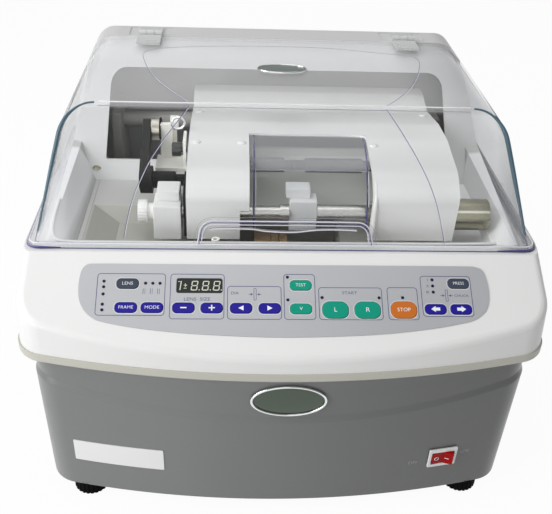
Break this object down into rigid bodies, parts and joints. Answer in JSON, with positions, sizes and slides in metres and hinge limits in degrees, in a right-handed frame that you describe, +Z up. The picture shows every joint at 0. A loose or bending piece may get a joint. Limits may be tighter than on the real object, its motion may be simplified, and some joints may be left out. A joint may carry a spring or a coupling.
{
  "type": "optical lens edger",
  "caption": "Bench-top optical lens edger with a clear hood over a swinging lens head, grinding wheels in a tub and a sloping key panel.",
  "frame": {"origin": "on the bench under the middle of the machine", "axes": "+Z up, -Y towards the user (key panel side), +X to the user's right"},
  "size_m": [0.503, 0.4179, 0.385],
  "materials": {
    "grey_paint": "satin grey paint with a fine orange peel",
    "zinc_steel": "zinc-plated sheet",
    "foot_rubber": "ribbed black rubber",
    "trim_plastic": "ivory moulded trim",
    "white_plastic": "white moulded housing, satin",
    "tray_steel": "satin metal tray",
    "panel_film": "printed silver-grey film",
    "led_lens": "dark tinted lamp lens",
    "display_dark": "dark display window",
    "circuit_board": "green board",
    "badge_metal": "bright ring round a grey-green face",
    "label_white": "blank white plate",
    "switch_white": "white moulded plastic",
    "rocker_red": "red rocker",
    "frame_iron": "painted casting",
    "motor_black": "black enamel",
    "shaft_steel": "turned steel",
    "belt_rubber": "black rubber",
    "wheel_bronze": "bronze-bonded abrasive",
    "hose_cream": "cream hose",
    "inlet_black": "black moulded inlet",
    "clear_hood": "clear acrylic",
    "hinge_clear": "pale moulded hinge",
    "frame_aluminium": "machined casting",
    "cover_white": "white moulded cover",
    "plated": "nickel plate",
    "bracket_cream": "cream moulding",
    "knob_black": "black knob",
    "knob_white": "white serrated knob",
    "arm_black": "black arm",
    "key_blue": "embossed blue key",
    "key_green": "embossed green key",
    "key_orange": "embossed orange key",
    "key_grey": "embossed dark grey key"
  },
  "bodies": {
    "chassis": {"base_shell": "grey_paint", "base_plate": "zinc_steel", "feet": "foot_rubber", "rim_trim": "trim_plastic", "upper_housing": "white_plastic", "tub_tray": "tray_steel", "membrane_panel": "panel_film", "indicator_leds": "led_lens", "display_window": "display_dark", "control_board": "circuit_board", "front_badge": "badge_metal", "label_plate": "label_white", "switch_bezel": "switch_white", "inner_frame": "frame_iron", "motor_body": "motor_black", "drive_belt": "belt_rubber", "water_hoses": "hose_cream", "mains_inlet": "inlet_black", "hinge_base_leaves": "hinge_clear"},
    "rocker": {"power_rocker": "rocker_red"},
    "lid": {"lid_hood": "clear_hood", "lid_hinge_leaves": "hinge_clear", "lid_badge": "badge_metal"},
    "spindle": {"wheel_spindle": "shaft_steel", "grinding_wheels": "wheel_bronze"},
    "rotor": {"motor_rotor": "shaft_steel"},
    "carriage": {"carriage_sleeve": "shaft_steel"},
    "head": {"head_frame": "frame_aluminium", "head_cover": "cover_white", "cover_seal": "belt_rubber", "chamber_window": "clear_hood", "head_motor": "motor_black", "end_cylinder": "plated", "clamp_blocks": "switch_white", "stop_bracket": "bracket_cream", "shaft_belts": "belt_rubber"},
    "adjuster": {"adjust_knob": "knob_black"},
    "layshaft_body": {"layshaft": "shaft_steel"},
    "lens_left": {"lens_shaft_left": "shaft_steel", "former_knob": "knob_white"},
    "chuck": {"chuck_sleeve": "plated"},
    "lens_right": {"lens_shaft_right": "shaft_steel"},
    "visor": {"chamber_visor": "clear_hood"},
    "arm": {"follower_arm": "arm_black"},
    "roller": {"arm_roller": "plated"},
    "key_lens": {"button_lens": "key_grey"},
    "key_frame": {"button_frame": "key_blue"},
    "key_mode": {"button_mode": "key_blue"},
    "key_minus": {"button_minus": "key_blue"},
    "key_plus": {"button_plus": "key_blue"},
    "key_shift_left": {"button_shift_left": "key_blue"},
    "key_shift_right": {"button_shift_right": "key_blue"},
    "key_test": {"button_test": "key_green"},
    "key_v": {"button_v": "key_green"},
    "key_start_left": {"button_start_left": "key_green"},
    "key_start_right": {"button_start_right": "key_green"},
    "key_stop": {"button_stop": "key_orange"},
    "key_press": {"button_press": "key_grey"},
    "key_chuck_open": {"button_chuck_open": "key_blue"},
    "key_chuck_close": {"button_chuck_close": "key_blue"}
  },
  "joints": [
    {"name": "power_switch", "type": "hinge", "parent": "chassis", "child": "rocker", "pos_m": [0.16414, -0.18532, 0.06236], "axis": [0.0069, -0.0385, 0.9992], "range_deg": [0, 20]},
    {"name": "lid_hinge", "type": "hinge", "parent": "chassis", "child": "lid", "pos_m": [0, 0.1602, 0.3816], "axis": [-1, 0, 0], "range_deg": [0, 115]},
    {"name": "spindle_spin", "type": "hinge", "parent": "chassis", "child": "spindle", "pos_m": [0, -0.06, 0.196], "axis": [1, 0, 0], "continuous": true},
    {"name": "rotor_spin", "type": "hinge", "parent": "chassis", "child": "rotor", "pos_m": [0, 0.06, 0.08], "axis": [1, 0, 0], "continuous": true},
    {"name": "carriage_slide", "type": "slide", "parent": "chassis", "child": "carriage", "axis": [1, 0, 0], "range_m": [-0.032, 0]},
    {"name": "head_swing", "type": "hinge", "parent": "carriage", "child": "head", "pos_m": [0, 0.142, 0.284], "axis": [1, 0, 0], "range_deg": [0, 2]},
    {"name": "adjuster_spin", "type": "hinge", "parent": "head", "child": "adjuster", "pos_m": [-0.105, 0.0045, 0.31], "axis": [1, 0, 0], "continuous": true},
    {"name": "layshaft_spin", "type": "hinge", "parent": "head", "child": "layshaft_body", "pos_m": [0, -0.012, 0.302], "axis": [1, 0, 0], "continuous": true},
    {"name": "lens_left_spin", "type": "hinge", "parent": "head", "child": "lens_left", "pos_m": [0, -0.055, 0.2705], "axis": [1, 0, 0], "continuous": true},
    {"name": "chuck_slide", "type": "slide", "parent": "head", "child": "chuck", "axis": [1, 0, 0], "range_m": [0, 0.012]},
    {"name": "lens_right_spin", "type": "hinge", "parent": "chuck", "child": "lens_right", "pos_m": [0.1, -0.055, 0.2705], "axis": [1, 0, 0], "continuous": true},
    {"name": "visor_roll", "type": "hinge", "parent": "head", "child": "visor", "pos_m": [0, 0, 0.254], "axis": [-1, 0, 0], "range_deg": [0, 48]},
    {"name": "arm_swing", "type": "hinge", "parent": "head", "child": "arm", "pos_m": [-0.12, -0.027, 0.291], "axis": [1, 0, 0], "range_deg": [0, 20]},
    {"name": "roller_spin", "type": "hinge", "parent": "arm", "child": "roller", "pos_m": [-0.132, 0.03, 0.321], "axis": [1, 0, 0], "continuous": true},
    {"name": "press_lens", "type": "slide", "parent": "chassis", "child": "key_lens", "axis": [0, 0.5329, -0.8462], "range_m": [0, 0.0006], "stiffness_N_per_m": 300},
    {"name": "press_frame", "type": "slide", "parent": "chassis", "child": "key_frame", "axis": [0, 0.5329, -0.8462], "range_m": [0, 0.0006], "stiffness_N_per_m": 300},
    {"name": "press_mode", "type": "slide", "parent": "chassis", "child": "key_mode", "axis": [0, 0.5329, -0.8462], "range_m": [0, 0.0006], "stiffness_N_per_m": 300},
    {"name": "press_minus", "type": "slide", "parent": "chassis", "child": "key_minus", "axis": [0, 0.5329, -0.8462], "range_m": [0, 0.0006], "stiffness_N_per_m": 300},
    {"name": "press_plus", "type": "slide", "parent": "chassis", "child": "key_plus", "axis": [0, 0.5329, -0.8462], "range_m": [0, 0.0006], "stiffness_N_per_m": 300},
    {"name": "press_shift_left", "type": "slide", "parent": "chassis", "child": "key_shift_left", "axis": [0, 0.5329, -0.8462], "range_m": [0, 0.0006], "stiffness_N_per_m": 300},
    {"name": "press_shift_right", "type": "slide", "parent": "chassis", "child": "key_shift_right", "axis": [0, 0.5329, -0.8462], "range_m": [0, 0.0006], "stiffness_N_per_m": 300},
    {"name": "press_test", "type": "slide", "parent": "chassis", "child": "key_test", "axis": [0, 0.5329, -0.8462], "range_m": [0, 0.0006], "stiffness_N_per_m": 300},
    {"name": "press_v", "type": "slide", "parent": "chassis", "child": "key_v", "axis": [0, 0.5329, -0.8462], "range_m": [0, 0.0006], "stiffness_N_per_m": 300},
    {"name": "press_start_left", "type": "slide", "parent": "chassis", "child": "key_start_left", "axis": [0, 0.5329, -0.8462], "range_m": [0, 0.0006], "stiffness_N_per_m": 300},
    {"name": "press_start_right", "type": "slide", "parent": "chassis", "child": "key_start_right", "axis": [0, 0.5329, -0.8462], "range_m": [0, 0.0006], "stiffness_N_per_m": 300},
    {"name": "press_stop", "type": "slide", "parent": "chassis", "child": "key_stop", "axis": [0, 0.5329, -0.8462], "range_m": [0, 0.0006], "stiffness_N_per_m": 300},
    {"name": "press_press", "type": "slide", "parent": "chassis", "child": "key_press", "axis": [0, 0.5329, -0.8462], "range_m": [0, 0.0006], "stiffness_N_per_m": 300},
    {"name": "press_chuck_open", "type": "slide", "parent": "chassis", "child": "key_chuck_open", "axis": [0, 0.5329, -0.8462], "range_m": [0, 0.0006], "stiffness_N_per_m": 300},
    {"name": "press_chuck_close", "type": "slide", "parent": "chassis", "child": "key_chuck_close", "axis": [0, 0.5329, -0.8462], "range_m": [0, 0.0006], "stiffness_N_per_m": 300}
  ],
  "couplings": [
    {"joint": "rotor_spin", "follows": "spindle_spin", "ratio": 1},
    {"joint": "layshaft_spin", "follows": "lens_left_spin", "ratio": 1},
    {"joint": "lens_right_spin", "follows": "lens_left_spin", "ratio": 1}
  ]
}
